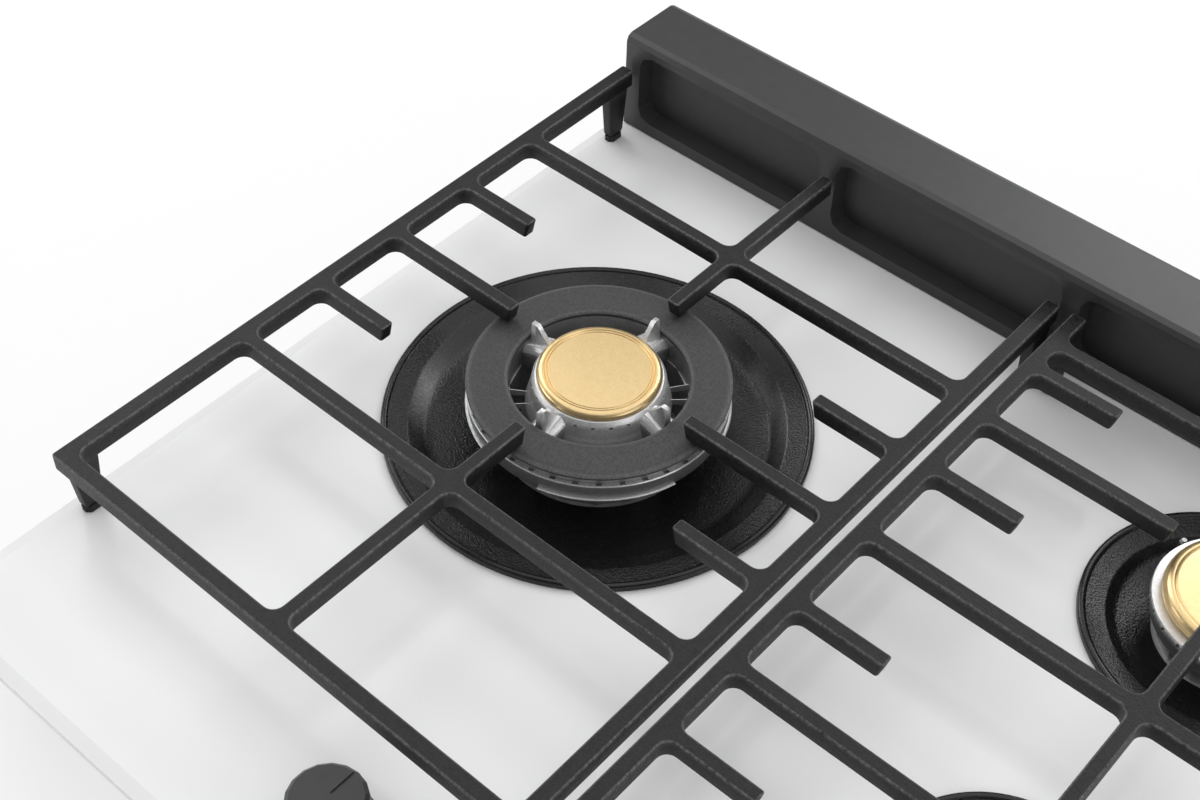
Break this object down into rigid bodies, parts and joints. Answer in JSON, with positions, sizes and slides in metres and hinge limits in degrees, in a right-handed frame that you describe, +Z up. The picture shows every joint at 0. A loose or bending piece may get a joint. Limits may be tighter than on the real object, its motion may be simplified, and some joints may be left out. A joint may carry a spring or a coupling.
{
  "type": "gas cooktop",
  "caption": "Built-in gas cooktop with a white glass top, a double-ring wok burner, two smaller burners, cast-iron pan supports, black rear riser and push-and-turn knobs.",
  "frame": {"origin": "under the middle of the burner box, at its underside", "axes": "+X to the right as the cook stands, +Y to the back, +Z up"},
  "size_m": [0.58, 0.51, 0.1183],
  "materials": {
    "white_glass": "white-backed toughened glass, polished",
    "cast_iron": "matte black enamel",
    "black_enamel": "grainy black vitreous enamel",
    "aluminium": "cast and machined",
    "gold_brass": "satin, clear lacquered",
    "brass": "as machined",
    "steel": "zinc plated",
    "black_plastic": "smooth satin",
    "rubber": "matte",
    "ceramic": "white glazed ceramic",
    "aluminium_pipe": "drawn tube"
  },
  "bodies": {
    "hob": {"glass_top": "white_glass", "glass_seal": "rubber", "burner_box": "steel", "worktop_clamp_left_front": "steel", "worktop_clamp_left_rear": "steel", "worktop_clamp_right_front": "steel", "worktop_clamp_right_rear": "steel", "rear_riser": "black_plastic", "wok_drip_bowl": "black_enamel", "wok_burner_cup": "aluminium", "wok_spark_electrode": "ceramic", "wok_flame_probe": "steel", "wok_burner_head": "aluminium", "wok_gas_valve": "brass", "wok_feed_pipe": "aluminium_pipe", "semi_rapid_drip_bowl": "black_enamel", "semi_rapid_burner_cup": "aluminium", "semi_rapid_spark_electrode": "ceramic", "semi_rapid_flame_probe": "steel", "semi_rapid_burner_head": "aluminium", "semi_rapid_gas_valve": "brass", "semi_rapid_feed_pipe": "aluminium_pipe", "auxiliary_drip_bowl": "black_enamel", "auxiliary_burner_cup": "aluminium", "auxiliary_spark_electrode": "ceramic", "auxiliary_flame_probe": "steel", "auxiliary_burner_head": "aluminium", "auxiliary_gas_valve": "brass", "auxiliary_feed_pipe": "aluminium_pipe", "wok_ring_cap": "black_enamel", "gas_manifold": "steel", "manifold_bracket_left": "steel", "manifold_bracket_right": "steel", "inlet_pipe": "steel", "gas_inlet_fitting": "brass", "spark_generator": "black_plastic"},
    "wok_inner_cap_body": {"wok_inner_cap": "gold_brass"},
    "semi_rapid_cap_body": {"semi_rapid_cap": "gold_brass"},
    "auxiliary_cap_body": {"auxiliary_cap": "gold_brass"},
    "left_support_body": {"left_pan_support": "cast_iron", "left_support_foot_front_left": "rubber", "left_support_foot_front_right": "rubber", "left_support_foot_rear_left": "rubber", "left_support_foot_rear_right": "rubber"},
    "right_support_body": {"right_pan_support": "cast_iron", "right_support_foot_front_left": "rubber", "right_support_foot_front_right": "rubber", "right_support_foot_rear_left": "rubber", "right_support_foot_rear_right": "rubber"},
    "wok_push_body": {"wok_spring_collar": "steel"},
    "wok_knob_body": {"wok_knob": "black_plastic", "wok_spindle": "brass"},
    "semi_rapid_push_body": {"semi_rapid_spring_collar": "steel"},
    "semi_rapid_knob_body": {"semi_rapid_knob": "black_plastic", "semi_rapid_spindle": "brass"},
    "auxiliary_push_body": {"auxiliary_spring_collar": "steel"},
    "auxiliary_knob_body": {"auxiliary_knob": "black_plastic", "auxiliary_spindle": "brass"}
  },
  "joints": [
    {"name": "left_support_lift", "type": "slide", "parent": "hob", "child": "left_support_body", "axis": [0, 0, 1], "range_m": [0, 0.05]},
    {"name": "right_support_lift", "type": "slide", "parent": "hob", "child": "right_support_body", "axis": [0, 0, 1], "range_m": [0, 0.05]},
    {"name": "wok_inner_cap_lift", "type": "slide", "parent": "hob", "child": "wok_inner_cap_body", "axis": [0, 0, 1], "range_m": [0, 0.03]},
    {"name": "semi_rapid_cap_lift", "type": "slide", "parent": "hob", "child": "semi_rapid_cap_body", "axis": [0, 0, 1], "range_m": [0, 0.03]},
    {"name": "auxiliary_cap_lift", "type": "slide", "parent": "hob", "child": "auxiliary_cap_body", "axis": [0, 0, 1], "range_m": [0, 0.03]},
    {"name": "wok_knob_push", "type": "slide", "parent": "hob", "child": "wok_push_body", "axis": [0, 0, -1], "range_m": [0, 0.003], "stiffness_N_per_m": 1500, "springref_m": -0.003},
    {"name": "wok_knob_turn", "type": "hinge", "parent": "wok_push_body", "child": "wok_knob_body", "pos_m": [-0.075, -0.212, 0.062], "axis": [0, 0, 1], "range_deg": [0, 210]},
    {"name": "semi_rapid_knob_push", "type": "slide", "parent": "hob", "child": "semi_rapid_push_body", "axis": [0, 0, -1], "range_m": [0, 0.003], "stiffness_N_per_m": 1500, "springref_m": -0.003},
    {"name": "semi_rapid_knob_turn", "type": "hinge", "parent": "semi_rapid_push_body", "child": "semi_rapid_knob_body", "pos_m": [0, -0.212, 0.062], "axis": [0, 0, 1], "range_deg": [0, 210]},
    {"name": "auxiliary_knob_push", "type": "slide", "parent": "hob", "child": "auxiliary_push_body", "axis": [0, 0, -1], "range_m": [0, 0.003], "stiffness_N_per_m": 1500, "springref_m": -0.003},
    {"name": "auxiliary_knob_turn", "type": "hinge", "parent": "auxiliary_push_body", "child": "auxiliary_knob_body", "pos_m": [0.075, -0.212, 0.062], "axis": [0, 0, 1], "range_deg": [0, 210]}
  ]
}
